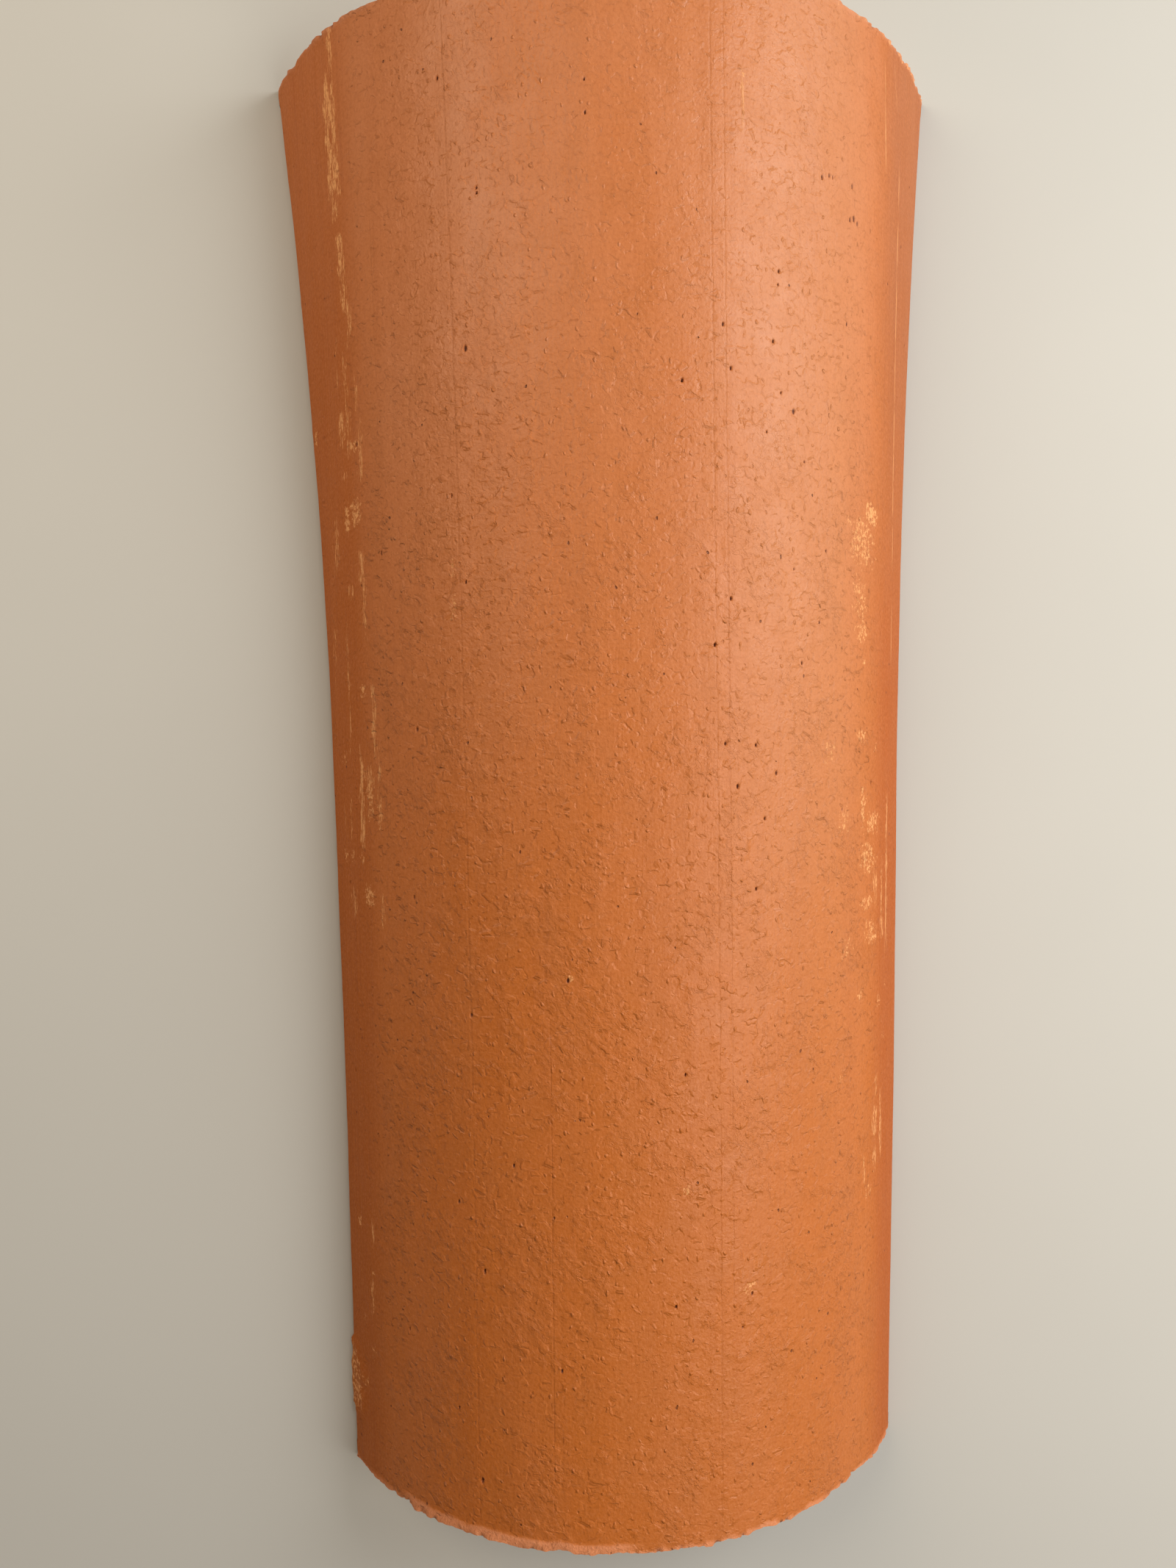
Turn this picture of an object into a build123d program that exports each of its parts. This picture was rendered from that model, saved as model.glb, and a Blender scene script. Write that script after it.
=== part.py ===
"""Clay cover tile for a pan-and-cover roof.

One piece of fired clay: an arched shell that tapers to its narrow end and flares at its wide end.
X runs across the tile, +Y along it towards the wide end, and +Z up from the flat rims.
"""

from build123d import *
from math import acos, degrees, hypot
import os

# Overall sizes, in millimetres
length = 420.0
wide_width = 199.0      # across the outer arrises of the rims, at the wide end
waist_width = 177.0     # the same, where the straight taper ends
narrow_width = 169.0    # the same, at the narrow end
height = 63.0           # from the rims' plane to the crest, at the wide end

# The wall and its edges
wall = 13.0             # thickness of the arch
rim_rounding = 1.0      # the long arrises of the rims, rubbed while the clay was soft

# The taper is straight from the narrow end, and the flare curves away from it without a kink
flare_length = 210.0

# Every section is an arc about one level line, which lies below the rims' plane
centre_depth = ((wide_width / 2)**2 - height**2) / (2 * height)
centre_line = Axis((0, 0, -centre_depth), (0, 1, 0))


def arch_radius(width):
    """Radius of the outer arc that meets the rims' plane at this width."""
    return hypot(width / 2, centre_depth)


narrow_end = -length / 2
wide_end = length / 2
waist = wide_end - flare_length

# The wall's profile lies level beside the centre line: its outer side, its inner side, two ends
with BuildPart() as cover_tile:
    with BuildSketch(Plane.XY.offset(-centre_depth)):
        with BuildLine():
            taper = Line((arch_radius(narrow_width), narrow_end), (arch_radius(waist_width), waist))
            flare = TangentArc(taper @ 1, (arch_radius(wide_width), wide_end), tangent=taper % 1)
            wide_cut = Line(flare @ 1, (arch_radius(wide_width) - wall, wide_end))
            narrow_cut = Line(taper @ 0, (arch_radius(narrow_width) - wall, narrow_end))
            inner_taper = Line(narrow_cut @ 1, (arch_radius(waist_width) - wall, waist))
            TangentArc(inner_taper @ 1, wide_cut @ 1, tangent=inner_taper % 1)
        make_face()

    # Half a turn carries it over the crest, and the rims are then trimmed flat
    revolve(axis=centre_line, revolution_arc=-180)
    split(bisect_by=Plane.XY, keep=Keep.TOP)

    rims = cover_tile.faces().filter_by(Plane.XY).group_by(Axis.Z)[0]
    long_arrises = rims.edges().filter_by(Axis.X, reverse=True)
    fillet(long_arrises, radius=rim_rounding)

cover_tile.part.label = "cover_tile"

half_angle = degrees(acos(centre_depth / arch_radius(wide_width)))
print(f"wide end: outer radius {arch_radius(wide_width):.1f} mm, half angle {half_angle:.1f} degrees")
print(f"narrow end: outer radius {arch_radius(narrow_width):.1f} mm")
print(f"volume {cover_tile.part.volume / 1000:.0f} cm3")

os.makedirs("parts", exist_ok=True)
export_step(cover_tile.part, "parts/cover_tile.step")
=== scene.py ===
# %% [markdown]
# # A clay cover tile, from a slab of clay to a photograph
#
# Arched cover tiles keep the rain out of the joints of a roof. This is one of them: fired clay,
# 420 mm long, an arch that tapers to one end and flares at the other. The maker's order is a good
# order for the model too. A flat slab is cut, the slab is laid over a former, its skin is dragged,
# torn and knocked, and the fire gives it its colour.
#
# The CAD model of the same tile is the frame: it says where everything is, in metres, with X across
# the tile, Y along it towards the wide end, and Z up from the floor.

# %% Load the frame
import math

import bpy
import numpy as np
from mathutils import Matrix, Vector, noise


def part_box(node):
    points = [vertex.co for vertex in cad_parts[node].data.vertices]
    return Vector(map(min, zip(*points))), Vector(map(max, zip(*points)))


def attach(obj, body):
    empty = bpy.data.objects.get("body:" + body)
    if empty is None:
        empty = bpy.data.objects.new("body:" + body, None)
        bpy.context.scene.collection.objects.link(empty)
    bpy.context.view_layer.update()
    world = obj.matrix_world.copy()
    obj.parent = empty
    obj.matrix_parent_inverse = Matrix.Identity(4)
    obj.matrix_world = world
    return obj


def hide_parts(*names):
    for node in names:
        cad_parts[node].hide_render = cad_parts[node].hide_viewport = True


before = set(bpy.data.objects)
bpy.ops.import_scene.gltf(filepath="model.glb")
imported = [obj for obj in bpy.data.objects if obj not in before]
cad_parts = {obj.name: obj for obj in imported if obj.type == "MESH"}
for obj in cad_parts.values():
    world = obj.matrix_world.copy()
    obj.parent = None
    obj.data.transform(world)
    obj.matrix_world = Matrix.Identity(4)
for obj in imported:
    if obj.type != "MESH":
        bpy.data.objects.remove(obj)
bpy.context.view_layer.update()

MM = 0.001
low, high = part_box("cover_tile")
print("CAD tile, in mm:", [round(side / MM, 1) for side in high - low])

# %% [markdown]
# ## The former
#
# The clay is bent over a wooden former, and every section across it is an arc about one level line
# below the floor. So one number says all about a section: the arc's radius. It grows evenly from the
# narrow end to the middle, and then faster, which is the flare. A parabola is as good as the CAD
# model's large arc there, because they differ by less than a hundredth of a millimetre.

# %% The shape of the former
LENGTH = 420 * MM
WALL = 13 * MM
HEIGHT = 63 * MM
WIDE_WIDTH = 199 * MM
WAIST_WIDTH = 177 * MM
NARROW_WIDTH = 169 * MM
END = LENGTH / 2

AXIS_DEPTH = ((WIDE_WIDTH / 2)**2 - HEIGHT**2) / (2 * HEIGHT)


def arc_radius(width):
    """Radius of the arc that is this wide where it meets the floor."""
    return math.hypot(width / 2, AXIS_DEPTH)


WAIST_RADIUS = arc_radius(WAIST_WIDTH)
TAPER = (WAIST_RADIUS - arc_radius(NARROW_WIDTH)) / END
FLARE = (arc_radius(WIDE_WIDTH) - WAIST_RADIUS - TAPER * END) / END**2


def back_radius(along):
    """Radius of the tile's back at this distance along it."""
    return WAIST_RADIUS + TAPER * along + FLARE * np.maximum(along, 0)**2


def half_turn(radius):
    """Angle from the crest down to the floor on an arc of this radius."""
    return np.arccos(AXIS_DEPTH / radius)


for place in (-END, 0, END):
    radius = back_radius(place)
    print(f"y {place / MM:+.0f} mm: radius {radius / MM:.1f} mm, {math.degrees(half_turn(radius)):.1f} deg")

# %% [markdown]
# ## The slab
#
# A flat grid is the slab's back, and extruding it down by the wall's thickness makes the slab. The
# grid's cells are all nearly square, so later detail has the same size everywhere.

# %% Cut the slab
ACROSS, ALONG = 50, 84
SLAB_WIDTH = 2 * float(half_turn(back_radius(0)) * back_radius(0))


def select_faces(piece, wanted):
    """Selects the faces for which wanted(middle, normal) is true, and opens edit mode."""
    bpy.ops.object.mode_set(mode="EDIT")
    bpy.ops.mesh.select_mode(type="FACE")
    bpy.ops.mesh.select_all(action="DESELECT")
    bpy.ops.object.mode_set(mode="OBJECT")
    for face in piece.data.polygons:
        face.select = wanted(face.center, face.normal)
    bpy.ops.object.mode_set(mode="EDIT")


bpy.ops.object.select_all(action="DESELECT")
bpy.ops.mesh.primitive_grid_add(x_subdivisions=ACROSS, y_subdivisions=ALONG, size=1,
                                location=(0, 0, 0))
tile = bpy.context.object
tile.name = "tile_of_fired_clay"
tile.data.name = tile.name

bpy.ops.object.mode_set(mode="EDIT")
bpy.ops.mesh.select_all(action="SELECT")
bpy.ops.transform.resize(value=(SLAB_WIDTH, LENGTH, 1))
bpy.ops.mesh.extrude_region_move(TRANSFORM_OT_translate={"value": (0, 0, -WALL)})
bpy.ops.mesh.select_all(action="SELECT")
bpy.ops.mesh.normals_make_consistent(inside=False)
bpy.ops.object.mode_set(mode="OBJECT")
print("slab:", len(tile.data.polygons), "faces of", round(SLAB_WIDTH / ACROSS / MM, 2), "mm")

# %% [markdown]
# Only the sides that people see get small cells: the back, the two cut ends and the long rims. The
# underside keeps its large cells, because nothing fine happens there. The two ends get smaller cells
# still, where the wire tore the clay.

# %% Smaller cells where the clay shows
DOWNWARD = -0.5


def seen(middle, normal):
    return normal.z > DOWNWARD


def near_an_end(middle, normal):
    return normal.z > DOWNWARD and abs(middle.y) > END - LENGTH / ALONG


select_faces(tile, seen)
bpy.ops.mesh.subdivide(number_cuts=3)
select_faces(tile, near_an_end)
bpy.ops.mesh.subdivide(number_cuts=1)
bpy.ops.object.mode_set(mode="OBJECT")
print("with small cells:", len(tile.data.polygons), "faces")

# %% [markdown]
# Small pits are where a grain of lime or a root burnt out of the clay. Each is only a millimetre or
# two across, so the cells round it are divided once more. Places on the skin are given in
# millimetres across from the crest and along from the middle of the tile. Then come the pit's half
# width and its depth.

# %% Smaller cells round the pits
PITS = [
    (57.2, 162.7, 0.6, 0.7), (59.9, 163.9, 0.5, 0.6), (61.3, 163.8, 0.4, 0.6), (69.8, 164, 0.6, 0.6),
    (68.8, 154.8, 0.6, 0.6), (70.6, 155.6, 0.8, 0.7), (72.2, 154.8, 0.6, 0.5), (67.5, 126.5, 0.5, 0.5),
    (41.8, 135, 0.5, 0.7), (41.4, 131.5, 0.35, 0.6), (39.8, 116.6, 0.5, 0.6), (24.5, 119, 0.5, 0.6),
    (26.6, 108, 0.5, 0.7), (13.2, 104, 0.5, 0.9), (42.3, 103.5, 0.4, 0.5), (46.6, 99.2, 0.7, 0.5),
    (37.5, 92.7, 0.35, 0.6), (50.5, 86.3, 0.35, 0.5), (-10.8, 178, 0.35, 0.6), (-10.8, 170, 0.45, 0.6),
    (-40, 154.9, 0.35, 1.0), (-40, 153.6, 0.35, 1.0), (-50.3, 184, 0.5, 0.8), (-44.5, 115, 0.7, 0.6),
    (-49.8, 77.3, 0.4, 1.0), (-46, 54, 0.45, 0.7), (-75.5, 65, 0.6, 0.6), (-84.7, 96.7, 0.6, 0.7),
    (58.8, 63, 0.4, 0.5), (46.6, 57, 0.35, 0.5), (26, 48, 0.5, 0.8), (56, 43, 0.45, 0.5),
    (21.3, 35.7, 0.5, 0.8), (49.2, 31.5, 0.5, 0.6), (24, 9.5, 0.5, 0.7), (33.4, 9, 0.5, 0.6),
    (40, 1.3, 0.55, 0.6), (27.5, -2, 0.6, 0.7), (36, -11, 0.5, 0.7), (65.7, -9.6, 0.4, 0.6),
    (33, -30, 0.5, 0.6), (81.8, -2.2, 0.6, 0.7), (-63.5, 15, 0.55, 0.9), (-66, -32, 0.5, 0.8),
    (-97, -30, 0.4, 0.6), (-19.3, -53, 0.6, 0.7), (-47, -63.5, 0.5, 0.7), (12, -79, 0.45, 0.7),
    (-96.7, -87, 0.5, 0.6), (-35, -104, 0.5, 0.6), (-52, -116.2, 0.5, 0.5), (-44, -134.5, 0.6, 1.0),
    (31, -141.5, 0.5, 0.6), (9, -142, 0.45, 0.7), (28, -150.3, 0.35, 0.6), (-71, -157.5, 0.5, 0.6),
    (-22, -159.5, 0.5, 0.5), (-52.8, -175, 0.4, 0.7), (-45.5, -194, 0.7, 1.2),
]


def slab_place(across, along):
    """Where a place on the tile's skin, in millimetres, was on the flat slab."""
    y = along * MM
    return across * MM / (half_turn(back_radius(y)) * back_radius(y)) * SLAB_WIDTH / 2, y


pit_places = [slab_place(across, along) for across, along, width, depth in PITS]
REACH_ACROSS = 1.5 * MM
REACH_ALONG = 1.7 * MM


def near_a_pit(middle, normal):
    if normal.z < 0.5:
        return False
    return any(abs(middle.x - x) < REACH_ACROSS and abs(middle.y - y) < REACH_ALONG
               for x, y in pit_places)


select_faces(tile, near_a_pit)
bpy.ops.mesh.subdivide(number_cuts=3)
bpy.ops.object.mode_set(mode="OBJECT")
print("with pits:", len(tile.data.polygons), "faces")

# %% [markdown]
# The long arrises were rubbed with a wet hand, so they're round. The bevel comes after the cells are
# made, since cells made afterwards would slice it too thin.

# %% Rub the long arrises round
RUBBED = 1 * MM
NEARLY = 0.01 * MM

bpy.ops.object.mode_set(mode="EDIT")
bpy.ops.mesh.select_mode(type="EDGE")
bpy.ops.mesh.select_all(action="DESELECT")
bpy.ops.object.mode_set(mode="OBJECT")
corners = tile.data.vertices
for edge in tile.data.edges:
    a, b = (corners[corner].co for corner in edge.vertices)
    on_side = min(abs(a.x), abs(b.x)) > SLAB_WIDTH / 2 - NEARLY
    on_back = min(a.z, b.z) > -NEARLY
    on_soffit = max(a.z, b.z) < -WALL + NEARLY
    edge.select = on_side and (on_back or on_soffit)
bpy.ops.object.mode_set(mode="EDIT")
bpy.ops.mesh.bevel(offset=RUBBED, segments=2, affect="EDGES")
bpy.ops.object.mode_set(mode="OBJECT")
print("with round arrises:", len(tile.data.polygons), "faces")

# %% [markdown]
# ## The skin
#
# What follows works on every corner of the mesh at once, as lists of numbers: how far across from
# the crest it is, how far along, and how deep below the back. The relief is added up in millimetres
# first and given to the mesh at the end, so that each step can be read, and changed, by itself.

# %% Where each corner is on the slab
count = len(tile.data.vertices)
flat = np.empty(count * 3)
tile.data.vertices.foreach_get("co", flat)
flat = flat.reshape(-1, 3)
turned = flat[:, 0] / (SLAB_WIDTH / 2)
along = flat[:, 1] / MM
depth = -flat[:, 2] / MM
radius = back_radius(flat[:, 1])
across = turned * half_turn(radius) * radius / MM
to_end = END / MM - np.abs(along)
side = np.sign(along)
BACK_LAYER = 3
on_back = np.clip(1 - depth / BACK_LAYER, 0, 1)


def blotches(size, seed, stretch=1.0, third=None):
    """Smooth noise from -1 to 1 whose lumps are about this many millimetres across."""
    third = np.zeros(count) if third is None else third
    rows = zip(across / size, along / size / stretch, third / size + seed)
    return np.array([noise.noise(Vector(row)) for row in rows])


def smooth(value, start, stop):
    """0 before start, 1 after stop, and an even ramp with soft ends between."""
    share = np.clip((value - start) / (stop - start), 0, 1)
    return share * share * (3 - 2 * share)


print(count, "corners, across to", round(across.max(), 1), "mm")

# %% [markdown]
# A real slab isn't even. It has long soft waves, and the edge of the die leaves folds that run the
# whole length of the tile: the back turns a little more there, so the light changes in a step. Each
# fold has its place across the tile, and the angle by which it turns the skin, in degrees.

# %% Waves and long folds
FOLDS = [
    (-93, 2.0), (-48, 2.5), (-34, 2.0), (-11, 4.5), (7, 3.0), (14, 3.5), (22.2, 5.0), (27.2, 5.0),
    (84, 1.5),
]
FOLD_REACH = 7.0
FOLD_CREST = 0.7


def fold(place, degrees):
    """A low ridge with a sharp top, which turns the skin by this angle."""
    away = np.hypot(across - place, FOLD_CREST)
    return math.radians(degrees) * FOLD_REACH / 2 * np.exp(-away / FOLD_REACH)


relief = 0.30 * blotches(60, 3.1, stretch=2.0) + 0.12 * blotches(22, 7.7, stretch=1.5)
for place, degrees in FOLDS:
    relief += fold(place, degrees)
print("relief so far, in mm:", round(relief.min(), 2), "to", round(relief.max(), 2))

# %% [markdown]
# The bands next to the rims were pressed smooth by the former's cheeks. Between them the skin is
# dimpled, like orange peel. The dimples that are wide enough for the cells are real relief, and the
# finish adds the finer ones.

# %% Smooth bands and dimples
burnish = 1 - smooth(across, -91, -77) * (1 - smooth(across, 74, 97))
DIMPLE_DEPTH = 0.035
dimples = blotches(5.5, 21.3) + 0.6 * blotches(3.2, 40.9)
relief += DIMPLE_DEPTH * (1 - burnish) * dimples
print("smooth bands cover", round(100 * float(burnish.mean())), "% of the corners")

# %% [markdown]
# A pit is a smooth cup. It's longer along the tile than across, because the clay was dragged that
# way. Its mask is kept as well, because the finish paints shade into the pits.

# %% Sink the pits
PIT_STRETCH = 1.9

pit_shade = np.zeros(count)
for place, up, width, sunk in PITS:
    reach = np.hypot(across - place, (along - up) / PIT_STRETCH)
    hole = 1 - smooth(reach, 0.2 * width, 0.85 * width)
    pit_shade = np.maximum(pit_shade, hole * (depth < 0.1))
    relief -= sunk * hole
print(len(PITS), "pits")

# %% [markdown]
# Both ends were cut with a wire while the clay was wet. The wire drags grains out, so the edge isn't
# straight, and the sharp arris crumbles or curls up. At the narrow end it has also pulled part of the
# edge up into a lip. The largest bites are listed one by one, and noise does the rest. A bite has its
# end, -1 for the narrow one, its place across, its width and its depth. It's steep on one side.

# %% Bite into the cut ends
NOTCHES = [
    (-1, -21, 4.0, 0.7), (-1, -6, 7.0, 0.8), (-1, 12, 9.0, 0.6), (-1, 24, 3.0, 0.6), (-1, 36, 6.0, 0.8),
    (-1, 52, 4.0, 0.9), (-1, 63, 6.0, 0.9), (-1, 76, 9.0, 1.5), (-1, -72, 4.0, 0.6),
    (1, -108, 3.0, 1.2), (1, -70, 6.0, 0.7), (1, -20, 5.0, 0.5), (1, 15, 5.0, 0.5), (1, 71, 3.0, 0.6),
    (1, 99, 3.0, 1.1), (1, 112, 3.0, 1.0),
]
edge_band = 1 - smooth(to_end, 0, 5)
ragged = 0.24 * blotches(16, 14.3, stretch=9) + 0.10 * blotches(4.1, 61.7, stretch=9)
ragged += 0.26 * blotches(1.5, 15.9, stretch=9)
ragged *= np.where(side < 0, 1.0, 0.7)
bite = np.zeros(count)
for which, place, width, deep in NOTCHES:
    away = (across - place) / width
    step = np.where(away > 0, np.exp(-(2.2 * away)**2), np.exp(-(0.9 * away)**2))
    bite += deep * step * (side == which)
bite *= 0.35 + 0.65 * on_back
inward = 0.4 - ragged + bite
print("the ends are cut back by", round(inward[to_end < 0.1].min(), 2), "to",
      round(inward[to_end < 0.1].max(), 2), "mm")

# %% [markdown]
# The arris is where the back meets the cut face. Where it crumbled it's sunk, with painted shade in
# it. Where it curled up it stands proud, with a painted highlight on it. The lip is a longer stretch of
# the same curl.

# %% Crumble and curl the arrises
ARRIS_WIDTH = 1.7
CURL_HEIGHT = 0.48
CRUMBLE_DEPTH = 0.55
LIP_HEIGHT = 0.75

crumble = smooth(blotches(2.6, 88.1, stretch=3) + 0.6 * blotches(1.3, 12.6, stretch=3), 0.05, 0.6)
curl = smooth(blotches(3.1, 33.3, stretch=3), -0.25, 0.35)
arris = 1 - smooth(to_end, 0, ARRIS_WIDTH)
relief += (CURL_HEIGHT * curl - 0.12 - CRUMBLE_DEPTH * crumble) * arris * on_back
# Painted shade in the crumbled arris, through the pits' mask.
pit_shade = np.maximum(pit_shade, 0.45 * smooth(crumble, 0.4, 1) * arris * on_back)
lip = smooth(across, -78, -68) * (1 - smooth(across, -10, 2)) * (side < 0)
relief += LIP_HEIGHT * lip * (1 - smooth(to_end, 0.2, 3.0)) * on_back
print("relief with arrises, in mm:", round(relief.min(), 2), "to", round(relief.max(), 2))

# %% [markdown]
# On the left rim, near the narrow end, a smear of wet clay was left sticking, and it stands up from
# the skin by half a millimetre. It's a ragged patch: a place across and along, a half width, a half
# length and a strength, with its outline pushed about by noise.

# %% A smear of clay
SMEAR = (-102, -184, 8.5, 12, 1.0)
SMEAR_HEIGHT = 0.6

outline = 0.45 * blotches(4, 66.6, stretch=3) + 0.45 * blotches(2.6, 97.1, stretch=1.3)


def patches(places):
    """A mask of ragged patches: across, along, half width, half length and strength of each."""
    mask = np.zeros(count)
    for place, up, half_width, half_length, strength in places:
        out = np.hypot((across - place) / half_width, ((along - up) / half_length)**2)
        mask = np.maximum(mask, strength * (1 - smooth(out + outline, 0.3, 1.4)))
    return mask


smear = smooth(patches([SMEAR]), 0.15, 0.6)
relief += (SMEAR_HEIGHT + 0.35 * blotches(3.5, 73.1)) * smear * on_back
print("the smear covers", int((smear * on_back > 0.5).sum()), "corners")

# %% [markdown]
# The cut faces are raw, grainy clay. The rims waver a little along the tile and carry small burrs,
# which are largest where the smear runs over the edge.

# %% Raw faces and wavering rims
on_end = to_end < 0.05
grain = 0.22 * blotches(2.2, 31.4, third=depth) + 0.14 * blotches(1.1, 77.7, third=depth)
end_shift = np.where(on_end, grain, 0)

rim_share = smooth(np.abs(turned), 0.93, 1)
waver = 0.45 * blotches(17, 50.5) + 0.28 * blotches(5, 52.5) + 0.15 * blotches(2, 54.5)
burr = 0.5 * smooth(blotches(4, 91.5), 0.35, 0.6) * np.exp(-(depth / 1.5)**2)
rim_shift = rim_share * (waver + burr + 0.9 * smear**2 * smooth(blotches(6, 83.3), -0.5, 0.4))
print("rims waver by", round(rim_shift.min(), 2), "to", round(rim_shift.max(), 2), "mm")

# %% [markdown]
# ## Over the former
#
# Now every corner goes to its place on the arch. A corner's share of the way from the crest to the
# rim stays the same, whatever its layer, so the rims end flat on the floor. A real tile also bows
# a little sideways in the kiln, here by about a millimetre. The corners are moved in code, because
# Blender's bend has one radius, and this arch's radius changes all along.

# %% Lay the slab over the former
BOW = 1.1 * MM

y = flat[:, 1] - side * edge_band * inward * MM + side * end_shift * MM
layer = radius - depth * MM + relief * MM * on_back
angle = turned * half_turn(layer) + np.sign(turned) * rim_shift * MM / radius * (1 - rim_share * 0.6)
laid = np.empty((count, 3))
laid[:, 0] = layer * np.sin(angle) + BOW * (1 - (y / END)**2)
laid[:, 1] = y
laid[:, 2] = np.maximum(layer * np.cos(angle) - AXIS_DEPTH, 0)
tile.data.vertices.foreach_set("co", laid.ravel())
tile.data.update()
print("laid, in mm:", (laid.min(0) / MM).round(1), (laid.max(0) / MM).round(1))

# %% [markdown]
# Handling has scraped the pressed bands. A scrape is a patch of pale streaks along the tile, a blot
# is a dab of the same powder, and the finish only needs to know where they are: across, along, half
# width, half length and strength. The same goes for where the skin is torn, which is mostly the half
# with the wide end, and where it is flaky, which is mostly the rest.

# %% Where the skin is scraped
SCRAPES = [
    (-88.5, 204, 1.4, 9, 1.0), (-91.2, 181, 1.9, 22, 1.0), (-88.4, 179, 1.6, 21, 1.0),
    (-90, 165, 3.0, 6, 0.9), (-88.6, 150, 1.9, 7, 0.9), (-87.8, 139, 2.5, 6, 0.85),
    (-85.9, 131, 1.7, 7, 0.9), (-92.8, 121, 1.2, 9, 0.65), (-88.8, 113, 1.2, 16, 0.75),
    (-84, 110, 1.2, 6, 0.8), (-92, 103, 1.9, 5.5, 0.85), (-88.6, 99, 1.4, 6, 0.7),
    (-82.9, 94, 1.4, 11, 0.95), (-91, 89, 2.0, 1.6, 0.7), (-98, 69, 2.8, 9, 0.75),
    (-84.8, 62, 1.6, 5, 0.9), (-91, 56, 1.9, 2.6, 0.8), (-83.8, 50, 1.2, 11, 0.9),
    (-94, 30, 1.2, 20, 0.85), (-102, 38, 2.5, 11, 0.55), (-81.3, 17, 1.3, 12, 0.9),
    (-88.4, -6, 1.5, 18, 1.0), (-84, 0, 1.9, 5.5, 0.9), (-79.4, 0, 1.2, 13, 0.7),
    (-95, -10, 1.2, 8, 0.8), (-99, -12, 1.2, 8, 0.6), (-94, -35, 2.4, 5.5, 0.8),
    (-79, -36, 1.2, 6, 0.7), (-88.3, -134.5, 1.2, 5, 1.0), (-88.7, -154, 1.2, 6, 0.9),
    (94, -28, 1.2, 29, 0.8), (89.8, -30, 1.2, 12, 0.8), (90, -45, 1.5, 6, 0.9),
    (84.5, -33, 2.2, 9, 0.7), (85.2, -93, 1.4, 5.5, 0.8), (84.5, -105, 2.5, 5.5, 0.9),
    (89, -106, 1.2, 11, 0.95), (77.6, -118, 1.3, 5.5, 0.9), (84, -116, 2.4, 5, 0.8),
]
BLOTS = [
    (-91, 77, 1.7, 4.5, 1.0), (-86.5, 78, 3.4, 3.7, 0.9), (-85.8, 96.5, 2.9, 1.8, 0.8),
    (-110, 104, 1.4, 2.6, 1.0), (-86.5, 26.5, 1.7, 2.3, 1.0), (-98, 7, 2.4, 2.6, 0.6),
    (-84.3, -6, 2.3, 6.5, 0.85), (-79.5, -9, 1.2, 5.0, 0.6), (-99, -22, 2.6, 2.6, 0.65),
    (-94.5, -22, 1.9, 2.6, 0.6), (-89, -22, 1.7, 2.2, 0.8), (-86, -33, 3.0, 3.2, 0.9),
    (-96, -133, 1.4, 1.9, 1.0), (-88.5, -147, 1.3, 1.4, 0.7), (-93.2, -162, 1.2, 1.4, 0.8),
    (-88.4, -171, 1.2, 2.4, 0.6), (-93, -182, 1.9, 2.0, 0.7), (-102, -184, 7.5, 11.0, 0.8),
    (81, 76, 3.8, 3.8, 0.9), (76, 67, 6.8, 7.5, 0.75), (70, 72, 2.2, 2.2, 0.6),
    (75, 51, 5.2, 6.5, 0.6), (76, 42, 4.7, 3.4, 0.75), (77, 33, 1.9, 1.7, 0.7),
    (75.5, 11.5, 4.4, 2.0, 0.75), (84.5, 8, 1.1, 2.6, 0.6), (60, 6, 3.2, 4.8, 0.6),
    (76.7, -10, 1.7, 6.5, 0.85), (82, -14.5, 5.4, 4.0, 0.8), (67, -13, 3.2, 4.4, 0.6),
    (80.5, -24.5, 5.4, 5.0, 0.75), (79.5, -38, 4.8, 2.0, 0.8), (82, -47, 4.8, 4.4, 0.8),
    (68, -50, 3.2, 3.2, 0.65), (75, -65, 1.9, 1.6, 0.7), (87, -69, 1.4, 2.0, 0.8),
    (93, -64.5, 1.3, 1.4, 0.7), (92, -80, 2.6, 2.2, 0.55), (65, -87, 1.3, 2.2, 0.65),
    (80, -125, 2.4, 2.4, 0.65), (30.5, -139.7, 3.8, 1.9, 0.65), (25.5, -175.5, 2.1, 1.1, 0.6),
    (30.8, 181, 1.1, 3.6, 0.6), (-49.4, 58, 1.1, 3.4, 0.8), (-49.8, 48, 1.0, 4.2, 0.7),
    (-18.6, -52.4, 0.9, 1.0, 1.0), (12, -110.7, 0.9, 1.3, 1.0),
]


scrape = patches(SCRAPES)
blot_and_burr_glint = patches(BLOTS)
# Where the wide end's arris curls up on the right, the pale powder colour is a painted highlight on the
# burr.
blot_and_burr_glint = np.maximum(blot_and_burr_glint, 1.4 * curl * arris * on_back * (side > 0) * smooth(across, 25, 60))
print(len(SCRAPES), "scrapes and", len(BLOTS), "blots")

# %% Where the skin is torn and flaky
skin = (1 - burnish) * on_back
torn = smooth(along + 45 * blotches(30, 17.2), 0, 90) * smooth(blotches(7, 19.4), -0.05, 0.35) * skin
flaky = smooth(blotches(13, 23.6, stretch=1.3) + 0.8 * blotches(5, 29.1), -0.1, 0.5) * skin
flaky *= 1 - 0.45 * smooth(along, 20, 120)
shares = [round(float(mask.mean()), 3) for mask in (torn, flaky)]
print("torn and flaky, on average:", shares)

# %% [markdown]
# A mesh can carry numbers of its own, called attributes, and a material reads them by name. Each
# mask is stored with one number for each corner. So is the corner's place on the slab, because the
# finish is painted in the same places, as if the slab were still flat.

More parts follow.
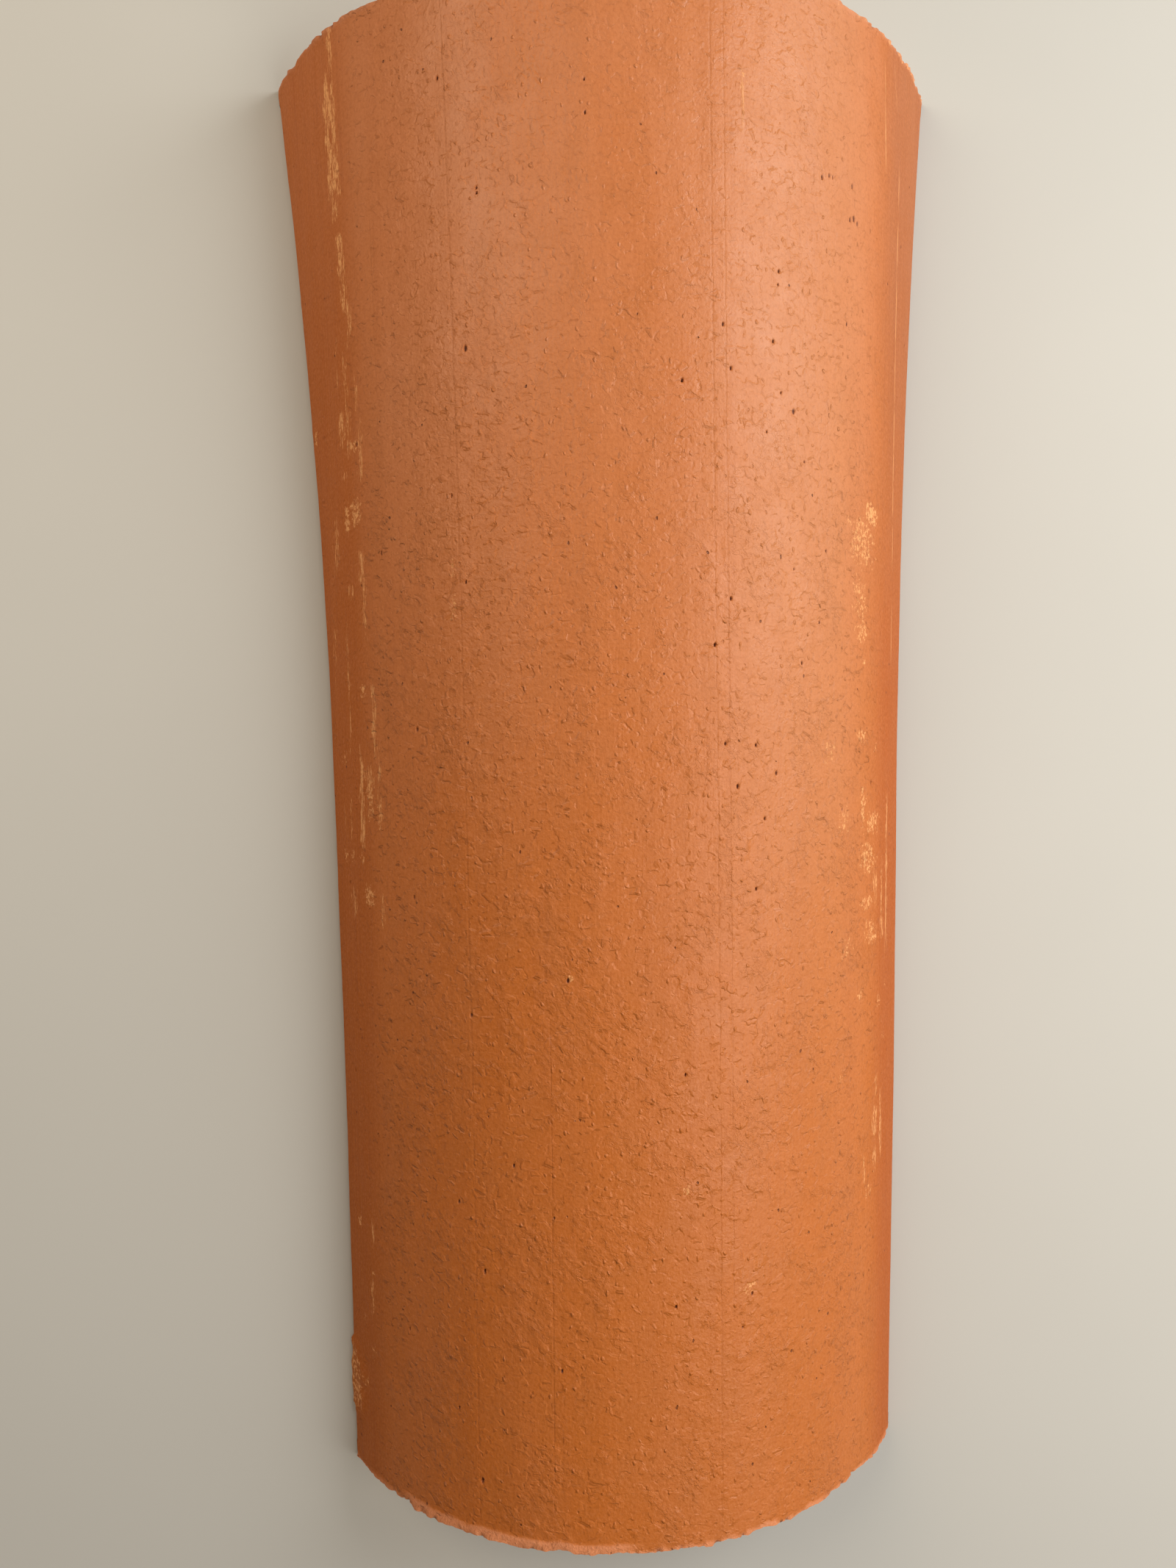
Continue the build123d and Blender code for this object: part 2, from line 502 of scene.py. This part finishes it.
# %% Keep the places and masks for the finish
# The raw mask is raw clay on the cut faces, the rim sides and the arris; where the arris curls up, its pale
# colour is also a painted highlight.
raw_and_burr_glint = np.clip(np.where(on_end, 1.0, 0) + arris * on_back * (0.25 + 0.75 * np.maximum(crumble, curl)), 0, 1)
lip_edge = to_end + 0.8 * blotches(6, 45.2)
raw_and_burr_glint = np.maximum(raw_and_burr_glint, 0.95 * lip * (1 - smooth(lip_edge, 1.9, 2.8)) * on_back)
raw_and_burr_glint = np.maximum(raw_and_burr_glint, smooth(depth, 0.8, 2.0) * (np.abs(turned) > 0.999))


def keep(name, values):
    """Stores one number for each corner on the mesh, for the material to read."""
    layer_of_numbers = tile.data.attributes.new(name, "FLOAT", "POINT")
    layer_of_numbers.data.foreach_set("value", values.astype(np.float32))


on_slab = np.stack([across, along, depth], 1).astype(np.float32)
slab_layer = tile.data.attributes.new("slab", "FLOAT_VECTOR", "POINT")
slab_layer.data.foreach_set("vector", on_slab.ravel())
keep("burnish", burnish)
keep("raw_and_burr_glint", raw_and_burr_glint)
keep("pit_shade", pit_shade)
keep("scrape", scrape)
keep("blot_and_burr_glint", blot_and_burr_glint)
keep("torn", torn)
keep("flaky", flaky)
print("attributes:", [layer.name for layer in tile.data.attributes if layer.domain == "POINT"])

# %% Shade it smooth
bpy.ops.object.select_all(action="DESELECT")
tile.select_set(True)
bpy.context.view_layer.objects.active = tile
bpy.ops.object.shade_smooth_by_angle(angle=math.radians(50))
triangles = sum(len(face.vertices) - 2 for face in tile.data.polygons)
print("triangles:", triangles)

# %% [markdown]
# ## The fired clay
#
# The material is built as the real surface came about: the body's colour from the fire first, then
# dimples and hairline tears in the skin, then the scrapes that it got afterwards. Some of its colours
# are painted shade, sheen and highlights, as the comments say where they're made. A node takes
# several lines to make, so short helpers come first: one adds any node, and the others add the kinds
# that are used most.

# %% A material and helpers for its nodes
clay = bpy.data.materials.new("fired_clay")
clay.use_nodes = True
tree = clay.node_tree
shader = tree.nodes["Principled BSDF"]


def put(kind, settings=None, **inputs):
    """Adds a node, sets its settings, and gives each named input a number or another node's output."""
    made = tree.nodes.new("ShaderNode" + kind)
    for name, value in (settings or {}).items():
        setattr(made, name, value)
    for name, value in inputs.items():
        socket = made.inputs[int(name[1:]) if name[0] == "_" else name.replace("_", " ")]
        if isinstance(value, bpy.types.NodeSocket):
            tree.links.new(value, socket)
        else:
            socket.default_value = value
    return made


def calc(operation, a, b=0.0, c=0.0):
    """One step of arithmetic."""
    return put("Math", {"operation": operation}, _0=a, _1=b, _2=c).outputs[0]


def ramp(value, start, stop, first=0.0, last=1.0):
    """A soft step from first to last, while the value goes from start to stop."""
    settings = {"interpolation_type": "SMOOTHSTEP"}
    made = put("MapRange", settings, Value=value, _1=start, _2=stop, _3=first, _4=last)
    return made.outputs[0]


def mix(share, first, second):
    """A colour between two."""
    return put("Mix", {"data_type": "RGBA"}, _0=share, _6=first, _7=second).outputs[2]


def attribute(name):
    """A number kept on the mesh."""
    return put("Attribute", {"attribute_name": name}).outputs["Fac"]


slab = put("Attribute", {"attribute_name": "slab"}).outputs["Vector"]


def stretched(x, y, z=1.0):
    """The slab's places, in millimetres, divided by these sizes."""
    return put("VectorMath", {"operation": "MULTIPLY"}, _0=slab, _1=(1 / x, 1 / y, 1 / z)).outputs[0]


def cloud(place, detail=2.0, rough=0.5):
    """Noise from 0 to 1 at a place whose unit is one lump."""
    return put("TexNoise", Vector=place, Scale=1.0, Detail=detail, Roughness=rough).outputs[0]


# %% Read the places and masks
s_across, s_along = put("SeparateXYZ", _0=slab).outputs[:2]
is_burnished = attribute("burnish")
is_raw_and_glint = attribute("raw_and_burr_glint")
is_pit_shade = attribute("pit_shade")
is_scraped = attribute("scrape")
is_blot_and_burr_glint = attribute("blot_and_burr_glint")
is_torn = attribute("torn")
is_flaky = attribute("flaky")
print("the material reads", sum(node.type == "ATTRIBUTE" for node in tree.nodes), "attributes")

# %% [markdown]
# The body burns to terracotta. It's paler and pinker at the wide end, more orange at the narrow end,
# and darker and deeper on the pressed bands by the rims, which is painted shade and painted orange
# bounce light. Right of the crest a straw tint is a painted sheen. By the right rim painted shade makes
# it duller towards the wide end, and it's richer towards the other. Slow blotches and streaks along
# the tile keep it from looking painted.

# %% The colour of the body
TERRACOTTA = (0.57, 0.168, 0.040, 1)
PINK = (0.60, 0.207, 0.076, 1)
ORANGE = (0.56, 0.154, 0.024, 1)
FLANK_SHADE = (0.46, 0.110, 0.008, 1)
SHEEN_TINT = (0.63, 0.250, 0.100, 1)
SMOKED = (0.50, 0.152, 0.034, 1)
DULL_SHADE = (0.36, 0.13, 0.06, 1)
RICH = (0.40, 0.06, 0.002, 1)

towards_wide = ramp(calc("ADD", s_along, calc("MULTIPLY", cloud(stretched(35, 60)), 90.0)), -40, 230)
body = mix(towards_wide, ORANGE, PINK)
body = mix(ramp(cloud(stretched(26, 90), detail=3.0), 0.35, 0.7, 0.0, 0.55), body, TERRACOTTA)
body = mix(ramp(cloud(stretched(9, 16), detail=3.0), 0.40, 0.70, 0.0, 0.30), body, SMOKED)
# Painted sheen: right of the crest the body is tinted paler and more straw-coloured, where a glossy
# highlight falls.
sheen_band = calc("MULTIPLY", ramp(s_across, 5, 50, 0.0, 0.45), ramp(s_across, 82, 60))
body = mix(calc("MULTIPLY", sheen_band, ramp(s_along, -150, 60)), body, SHEEN_TINT)
# Painted shade and painted orange bounce light on the pressed bands by the rims, a little less towards the
# wide end.
deep = calc("MULTIPLY", is_burnished, ramp(s_along, 110, 200, 0.8, 0.55))
body = mix(deep, body, FLANK_SHADE)
# Painted shade: by the right rim the body turns duller and darker towards the wide end.
dull_shade = calc("MULTIPLY", ramp(s_across, 80, 98), ramp(s_along, 0, 160, 0.0, 0.42))
body = mix(dull_shade, body, DULL_SHADE)
rich = calc("MULTIPLY", ramp(s_across, 78, 94), ramp(s_along, 90, 20, 0.0, 0.30))
body = mix(rich, body, RICH)

# %% Streaks and mottle
STREAK = (0.36, 0.085, 0.02, 1)
PALE_SPECK_GLINT = (0.70, 0.25, 0.10, 1)
DARK_SPECK_SHADE = (0.34, 0.075, 0.018, 1)

streak = cloud(stretched(2.2, 120, 4), detail=3.0, rough=0.6)
body = mix(ramp(streak, 0.35, 0.75, 0.0, 0.10), body, STREAK)
# Fine mottle: the clay's own pale and dark specks, and also painted highlights and painted shade on grit
# that is too small for the bump.
mottle = cloud(stretched(0.85, 1.1, 0.85), detail=2.0, rough=0.7)
body = mix(ramp(mottle, 0.42, 0.72, 0.0, 0.24), body, PALE_SPECK_GLINT)
body = mix(ramp(mottle, 0.50, 0.28, 0.0, 0.20), body, DARK_SPECK_SHADE)

# %% [markdown]
# Wet clay that is dragged over a former tears into small scales. Voronoi cells have just such
# borders. Their places are first pushed about by noise, so that no border is straight. Only parts of
# the borders open, as hairline tears. Along others the skin steps up or down like a ledge, as far as
# each cell's own random lift says. Flat, 2D cells are enough on a skin, and they render faster.

# %% Hairline tears and ledges
push = put("TexNoise", Vector=stretched(3.0, 3.0, 3.0), Scale=1.0, Detail=2.5).outputs[1]


def wandering(amount, x, y):
    """The slab's places in cells of this size, pushed about so that no cell is regular."""
    made = put("VectorMath", {"operation": "MULTIPLY_ADD"}, _0=push, _1=(amount,) * 3, _2=stretched(x, y, 6))
    return made.outputs[0]


scales = wandering(0.9, 2.9, 2.4)
flat_cells = {"voronoi_dimensions": "2D"}
edge_cells = put("TexVoronoi", {**flat_cells, "feature": "DISTANCE_TO_EDGE"}, Vector=scales, Scale=1.0)
border = edge_cells.outputs["Distance"]
scale = put("TexVoronoi", flat_cells, Vector=scales, Scale=1.0)
lift = put("SeparateColor", _0=scale.outputs["Color"]).outputs[0]
open_here = ramp(cloud(stretched(1.6, 1.6, 4), detail=1.0), 0.53, 0.59)
tears = calc("MULTIPLY", ramp(border, 0.05, 0.0), open_here)
tears = calc("MULTIPLY", tears, ramp(is_torn, 0.0, 0.6, 0.3, 1.0))
tears = calc("MULTIPLY", tears, ramp(is_burnished, 0.4, 0.0))

ledges = ramp(border, 0.24, 0.0)
ledges = calc("MULTIPLY", ledges, ramp(cloud(stretched(2.6, 2.6, 4), detail=1.0), 0.46, 0.58))
ledges = calc("MULTIPLY", ledges, calc("SUBTRACT", lift, 0.5))
ledges = calc("MULTIPLY", ledges, ramp(is_torn, 0.1, 0.9, 1.0, 0.60))
ledges = calc("MULTIPLY", ledges, ramp(s_along, -170, -60, 0.75, 1.0))

# %% [markdown]
# Grit in the clay shows as specks: half of them stand up as warts, others are short sunk ticks, and
# a few have fallen out and left a hole. The finish paints shade into the ticks and holes. They're the
# middles of smaller Voronoi cells, and each cell's random colour says which it has.

# %% Specks of grit
speck = put("TexVoronoi", {"feature": "F1"}, Vector=wandering(0.8, 2.1, 2.9), Scale=1.0)
chance = put("SeparateColor", _0=speck.outputs["Color"]).outputs
warts = calc("MULTIPLY", ramp(speck.outputs["Distance"], 0.27, 0.05), ramp(chance[1], 0.5, 1.0))
ticks = calc("MULTIPLY", ramp(speck.outputs["Distance"], 0.20, 0.08), ramp(chance[1], 0.27, 0.0))
holes = calc("MULTIPLY", ramp(speck.outputs["Distance"], 0.17, 0.10), calc("LESS_THAN", chance[1], 0.02))

# %% [markdown]
# Between the tears the skin is flaky: thin flakes lie on each other like peeling paint. Noise that is
# cut into steps gives their edges, which stay crisp while the flats between stay flat. The mask on
# the mesh makes a flake fade out, so most edges are short. The hand that pressed the clay moved
# slantwise, and the edges run that way.

# %% Flakes, grain and drag lines
SLANT = math.radians(50)

slanting = put("VectorRotate", {"rotation_type": "Z_AXIS"}, Vector=slab, Angle=SLANT).outputs[0]
slanting = put("VectorMath", {"operation": "MULTIPLY"}, _0=slanting, _1=(1 / 3.6, 1 / 2.4, 1 / 5)).outputs[0]
peel = cloud(slanting, detail=2.5, rough=0.5)
flakes = calc("ADD", ramp(peel, 0.43, 0.445), ramp(peel, 0.50, 0.515))
flakes = calc("ADD", flakes, ramp(peel, 0.57, 0.585))
lumps = cloud(stretched(1.4, 1.7, 1.4), detail=2.0)
fine = cloud(stretched(0.7, 0.8, 0.7), detail=1.0, rough=0.6)
drag = cloud(stretched(0.8, 80, 1.5), detail=2.0, rough=0.6)
print("so far the fired clay has", len(tree.nodes), "nodes")

# %% [markdown]
# All of it is added up to one height, in millimetres. The pressed bands are smoother than the rest,
# and so is the wide end, while the steep sides are a little rougher. The numbers below are how far
# each kind of mark stands up, or sinks in.

# %% Add the fine relief up
FLAKE, LEDGE, LUMP, WART, GRAIN = 0.08, 0.41, 0.09, 0.32, 0.095
TEAR, TICK, HOLE = -0.05, -0.16, -0.30


def raise_by(mask, amount, height):
    """Adds a mask to the height, times this many millimetres."""
    return calc("MULTIPLY_ADD", mask, amount, height)


height = calc("MULTIPLY", calc("MULTIPLY", flakes, is_flaky), FLAKE)
height = raise_by(ledges, LEDGE, height)
height = raise_by(lumps, LUMP, height)
height = raise_by(warts, WART, height)
height = raise_by(tears, TEAR, height)
height = raise_by(ticks, TICK, height)
height = calc("MULTIPLY", height, ramp(is_burnished, 0.0, 1.0, 1.0, 0.45))
height = calc("MULTIPLY", height, ramp(s_along, 90, 160, 1.0, 0.76))
height = calc("MULTIPLY", height, ramp(calc("ABSOLUTE", s_across), 42, 68, 1.0, 1.5))
height = raise_by(holes, HOLE, height)
height = raise_by(fine, GRAIN, height)
height = raise_by(drag, ramp(is_burnished, 0.0, 1.0, 0.03, 0.11), height)

# %% Colour the drag lines, and paint shade into the tears, ticks and holes
DRAGGED = (0.34, 0.075, 0.012, 1)
CRACK_SHADE = (0.26, 0.060, 0.014, 1)
HOLE_SHADE = (0.16, 0.035, 0.012, 1)

dragged = calc("MULTIPLY", is_burnished, ramp(drag, 0.45, 0.70, 0.0, 0.22))
body = mix(dragged, body, DRAGGED)
# Painted shade in the hairline tears, and in the ticks and holes below.
body = mix(calc("MULTIPLY", tears, 0.05), body, CRACK_SHADE)
ticks = calc("MULTIPLY", ticks, ramp(is_burnished, 0.6, 0.1))
ticks = calc("MULTIPLY", ticks, ramp(s_along, -130, 60, 0.35, 1.0))
ticks = calc("MULTIPLY", ticks, ramp(s_along, 90, 160, 1.0, 0.75))
body = mix(calc("MULTIPLY", ticks, 0.24), body, CRACK_SHADE)
body = mix(calc("MULTIPLY", holes, 0.7), body, HOLE_SHADE)

# %% [markdown]
# A few long lines run along the tile, where grit in the die or on the former dragged through the
# skin. A node group draws one: it takes the line's place at mid-length, how far it drifts sideways
# for each millimetre along, where it starts and stops, and its half width. The noise that breaks a
# line into pieces is the same for all of them, so it's made once, outside the group.

# %% A node group for one long line
FADE = 9.0

line_group = bpy.data.node_groups.new("long_line", "ShaderNodeTree")
for name in ("Slab", "Broken", "Place", "Drift", "Start", "Stop", "Half width"):
    kind = "NodeSocketVector" if name == "Slab" else "NodeSocketFloat"
    line_group.interface.new_socket(name, in_out="INPUT", socket_type=kind)
line_group.interface.new_socket("Line", in_out="OUTPUT", socket_type="NodeSocketFloat")
clay_tree, tree = tree, line_group
given = tree.nodes.new("NodeGroupInput").outputs
here = put("SeparateXYZ", _0=given["Slab"]).outputs
centre = calc("MULTIPLY_ADD", given["Drift"], here[1], given["Place"])
away = calc("ABSOLUTE", calc("SUBTRACT", here[0], centre))
line = ramp(calc("DIVIDE", away, given["Half width"]), 1.0, 0.2)
starts = ramp(calc("SUBTRACT", here[1], given["Start"]), 0.0, FADE)
stops = ramp(calc("SUBTRACT", given["Stop"], here[1]), 0.0, FADE)
line = calc("MULTIPLY", calc("MULTIPLY", line, starts), stops)
line = calc("MULTIPLY", line, given["Broken"])
result = tree.nodes.new("NodeGroupOutput")
tree.links.new(line, result.inputs["Line"])
tree = clay_tree
broken = ramp(cloud(stretched(0.9, 9, 4)), 0.36, 0.52)


def long_line(place, drift, start, stop, half_width):
    """One line of the group, from 0 beside it to 1 on it."""
    made = tree.nodes.new("ShaderNodeGroup")
    made.node_tree = line_group
    tree.links.new(slab, made.inputs["Slab"])
    tree.links.new(broken, made.inputs["Broken"])
    for socket, value in zip(made.inputs[2:], (place, drift, start, stop, half_width)):
        socket.default_value = value
    return made.outputs[0]


# %% [markdown]
# A groove is painted a little darker than the skin, and a ridge paler. Each row below is one line: its
# place, drift, start, stop and half width, in the node group's order.

# %% Draw the long lines
GROOVES = [
    (-47.5, -0.006, -210, 210, 0.55), (-75, 0.0, -60, 170, 0.35), (-24.3, 0.0, -205, -60, 0.4),
    (21.6, 0.0, -210, 210, 0.5), (25.2, 0.0, -150, 210, 0.5),
]
RIDGES = [
    (99.9, -0.069, 172, 205, 0.5), (147.6, -0.27, 192, 207, 0.55), (98.0, 0.0, 60, 182, 0.5),
    (98.0, 0.0, 30, 55, 0.55), (30.8, 0.0, 166, 186, 0.5), (95.25, 0.041, -58, -3, 0.5),
]
GROOVE, RIDGE = -0.05, 0.12
GROOVE_COLOUR = (0.27, 0.065, 0.016, 1)
RIDGE_COLOUR = (0.82, 0.37, 0.15, 1)


def all_lines(lines):
    """Several lines at once."""
    total = long_line(*lines[0])
    for line in lines[1:]:
        total = calc("MAXIMUM", total, long_line(*line))
    return total


grooves = all_lines(GROOVES)
ridges = all_lines(RIDGES)
height = raise_by(grooves, GROOVE, height)
height = raise_by(ridges, RIDGE, height)
body = mix(calc("MULTIPLY", grooves, 0.09), body, GROOVE_COLOUR)
body = mix(calc("MULTIPLY", ridges, 0.65), body, RIDGE_COLOUR)
print(len(GROOVES), "grooves and", len(RIDGES), "ridges")

# %% [markdown]
# A scrape is powdered clay, so it's pale and matt. It's many fine streaks, and the mask only says how
# many of them show: where the mask is strong, the streaks run together. A blot works the same way,
# with round specks of powder instead of streaks.

# %% Pale scrapes and blots
POWDER_AND_GLINT = (0.88, 0.41, 0.16, 1)

scratch = cloud(stretched(0.6, 6, 2), detail=3.0, rough=0.8)
scrape_dust_and_glint = ramp(calc("MULTIPLY_ADD", is_scraped, 0.24, scratch), 0.66, 0.76)
powder = cloud(stretched(1.1, 1.5, 2), detail=3.0, rough=0.75)
scrape_dust_and_glint = calc("MULTIPLY", scrape_dust_and_glint, ramp(powder, 0.38, 0.52, 0.25, 1.0))
# The blot mask also carries the painted highlight on the curled arris, so the pale powder colour paints it.
dust_and_burr_glint = ramp(calc("MULTIPLY_ADD", is_blot_and_burr_glint, 0.25, powder), 0.64, 0.80)
dust_and_burr_glint = calc("MULTIPLY", dust_and_burr_glint, ramp(is_blot_and_burr_glint, 0.0, 0.2))
scrape_dust_and_glint = calc("MAXIMUM", calc("MULTIPLY", scrape_dust_and_glint, ramp(is_scraped, 0.0, 0.2)), dust_and_burr_glint)
body = mix(calc("MULTIPLY", scrape_dust_and_glint, 0.90), body, POWDER_AND_GLINT)

# %% [markdown]
# The cut faces show the inside of the clay: grains, and slots where air was trapped as the clay was
# pressed through the die. The slots lie along the wall, so their noise is stretched that way. The
# pits are darkened here too, because little light gets into a real one.

# %% Raw clay and dark pits
RAW_AND_GLINT = (0.70, 0.27, 0.13, 1)
CRUMB = (0.78, 0.36, 0.20, 1)
SLOT_SHADE = (0.10, 0.025, 0.010, 1)
PIT_DARK = (0.12, 0.026, 0.010, 1)

crumbs = cloud(stretched(0.8, 0.8, 0.8), detail=3.0, rough=0.7)
slots = ramp(cloud(stretched(3.2, 3.2, 0.55), detail=1.0), 0.70, 0.75)
slots = calc("MULTIPLY", slots, is_raw_and_glint)
# Raw clay's pale colour; on the curled arris it is also a painted highlight.
body = mix(calc("MULTIPLY", is_raw_and_glint, 0.75), body, RAW_AND_GLINT)
body = mix(calc("MULTIPLY", is_raw_and_glint, ramp(crumbs, 0.5, 0.75, 0.0, 0.5)), body, CRUMB)
# The slots are hollows, and their dark colour is painted shade.
body = mix(calc("MULTIPLY", slots, 0.85), body, SLOT_SHADE)
height = raise_by(calc("MULTIPLY", crumbs, is_raw_and_glint), 0.35, height)
height = raise_by(slots, -0.5, height)
body = mix(ramp(is_pit_shade, 0.0, 0.75, 0.0, 0.92), body, PIT_DARK)

# %% [markdown]
# Pressed clay has a slight sheen on the back. The steep sides are duller, and raw clay and powder are
# duller still. The height goes into one bump node, whose distance is a millimetre.

# %% Shade the clay
shine = ramp(cloud(stretched(9, 14), detail=3.0), 0.3, 0.7, 0.43, 0.53)
shine = calc("ADD", shine, ramp(calc("ABSOLUTE", s_across), 48, 88, 0.0, 0.30))
shine = calc("MAXIMUM", shine, calc("MULTIPLY", calc("MAXIMUM", is_raw_and_glint, scrape_dust_and_glint), 0.9))
bump = put("Bump", Height=height, Strength=1.0, Distance=MM)
tree.links.new(body, shader.inputs["Base Color"])
tree.links.new(shine, shader.inputs["Roughness"])
tree.links.new(bump.outputs[0], shader.inputs["Normal"])
shader.inputs["Specular IOR Level"].default_value = 0.4
tile.data.materials.clear()
tile.data.materials.append(clay)
print("the fired clay has", len(tree.nodes), "nodes")

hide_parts("cover_tile")
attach(tile, "root")

# %% [markdown]
# ## The studio
#
# The floor is pale paper, and nearly plain: only a faint, slow noise varies its tone.

# %% Floor
bpy.ops.object.select_all(action="DESELECT")
bpy.ops.mesh.primitive_plane_add(size=6, location=(0, 0, 0))
floor = bpy.context.object
floor.name = "studio_floor"
paper = bpy.data.materials.new("pale_floor")
paper.use_nodes = True
tree = paper.node_tree
shader = tree.nodes["Principled BSDF"]
spot = put("TexCoord").outputs["Object"]
fibre = put("TexNoise", Vector=spot, Scale=6.0, Detail=3.0).outputs[0]
tree.links.new(mix(fibre, (0.555, 0.54, 0.51, 1), (0.605, 0.59, 0.56, 1)), shader.inputs["Base Color"])
shader.inputs["Roughness"].default_value = 0.9
floor.data.materials.append(paper)

# %% [markdown]
# The photograph's brightest band lies right of the crest. So two large soft lamps stand on the right,
# a low one towards the wide end and a high one towards the narrow end. A weaker, warmer one on the
# left opens the shadows.

# %% Lamps
def lamp(name, place, size, power, colour):
    """A square soft lamp that looks at the tile."""
    bpy.ops.object.light_add(type="AREA", location=place)
    made = bpy.context.object
    made.name = name
    made.data.size = size
    made.data.energy = power
    made.data.color = colour
    made.rotation_euler = (-Vector(place)).to_track_quat("-Z", "Y").to_euler()
    return made


lamp("low_lamp", (0.64, 0.30, 0.475), 0.5, 5.4, (1.0, 1.0, 0.96))
lamp("high_lamp", (0.495, -0.23, 0.65), 0.5, 3.7, (1.0, 0.94, 0.84))
lamp("fill_lamp", (-0.48, 0.38, 0.55), 0.5, 3.3, (1.0, 0.86, 0.66))

world = bpy.data.worlds.new("studio")
bpy.context.scene.world = world
world.use_nodes = True
world.node_tree.nodes["Background"].inputs["Color"].default_value = (1.0, 0.96, 0.90, 1)
world.node_tree.nodes["Background"].inputs["Strength"].default_value = 0.02
bpy.context.scene.view_settings.view_transform = "Standard"

# %% [markdown]
# ## The camera
#
# The photograph was taken by hand with a wide phone lens, from about 34 cm above the floor and a
# little to the left, almost straight down. The focal length of 1480 pixels in a picture 2134 pixels
# high makes a lens of 25 mm on Blender's 36 mm sensor.

# %% Camera
CAMERA_PLACE = (-29.2 * MM, 5.86 * MM, 338.73 * MM)
CAMERA_TURN = (-1.2325, -3.4614, -0.9442)
SENSOR = 36
FOCAL_PIXELS = 1480
PICTURE_HEIGHT = 2134

bpy.ops.object.camera_add(location=CAMERA_PLACE,
                          rotation=[math.radians(turn) for turn in CAMERA_TURN])
camera = bpy.context.object
camera.name = "camera"
camera.data.sensor_width = SENSOR
camera.data.lens = SENSOR * FOCAL_PIXELS / PICTURE_HEIGHT
camera.data.clip_start = 0.01
bpy.context.scene.camera = camera
print("lens:", round(camera.data.lens, 2), "mm")
